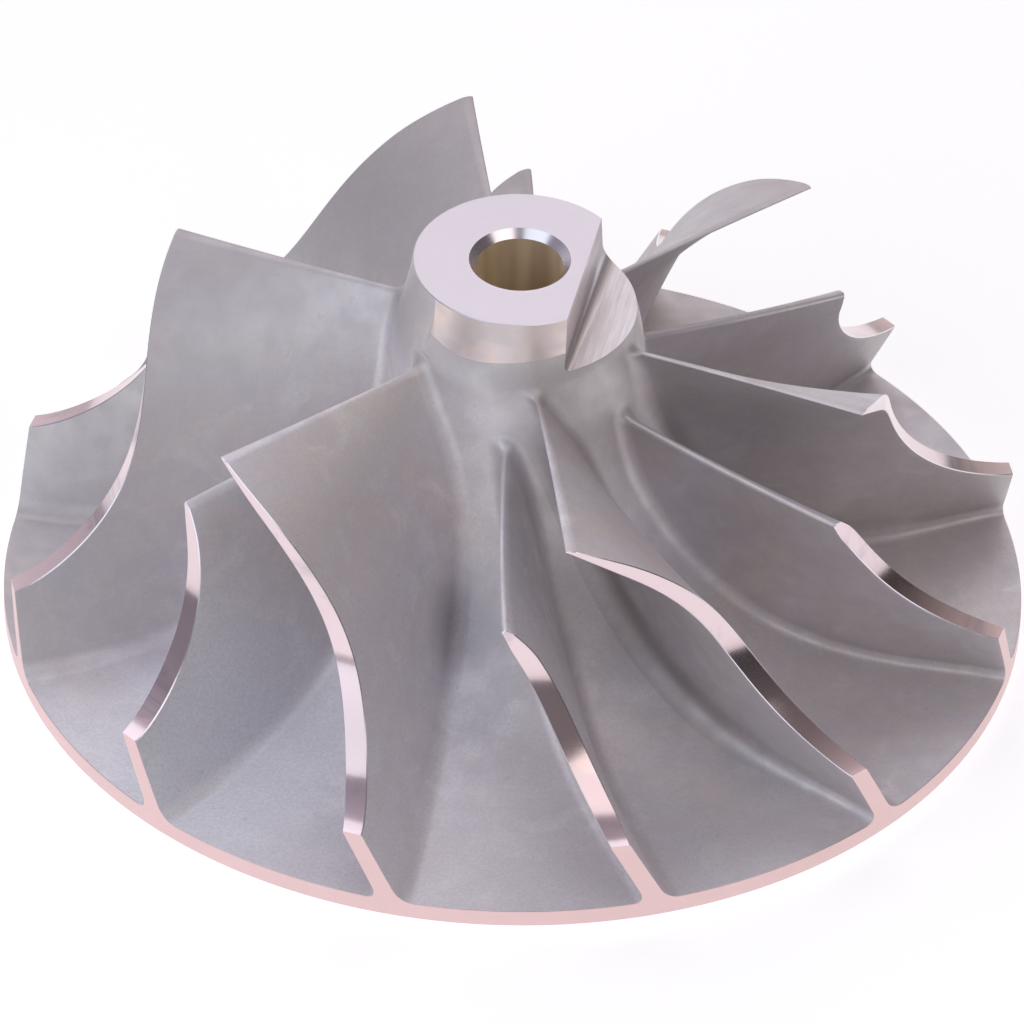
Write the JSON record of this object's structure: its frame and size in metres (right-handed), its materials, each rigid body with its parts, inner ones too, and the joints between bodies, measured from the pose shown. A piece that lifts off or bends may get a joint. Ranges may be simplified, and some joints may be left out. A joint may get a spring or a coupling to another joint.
{
  "type": "compressor wheel",
  "caption": "Centrifugal compressor wheel of a turbocharger: cast aluminium hub and back disc with full and splitter blades around a central bore.",
  "frame": {"origin": "centre of the back boss's flat face, on the wheel's axis", "axes": "+Z along the axis from the back towards the nose, +X to the right in the picture, +Y away from the camera"},
  "size_m": [0.076, 0.076, 0.0335],
  "materials": {
    "cast_aluminium": "satin as cast, with bright turned blade tips, rim and nose"
  },
  "bodies": {
    "root": {"wheel_casting": "cast_aluminium"}
  },
  "joints": []
}
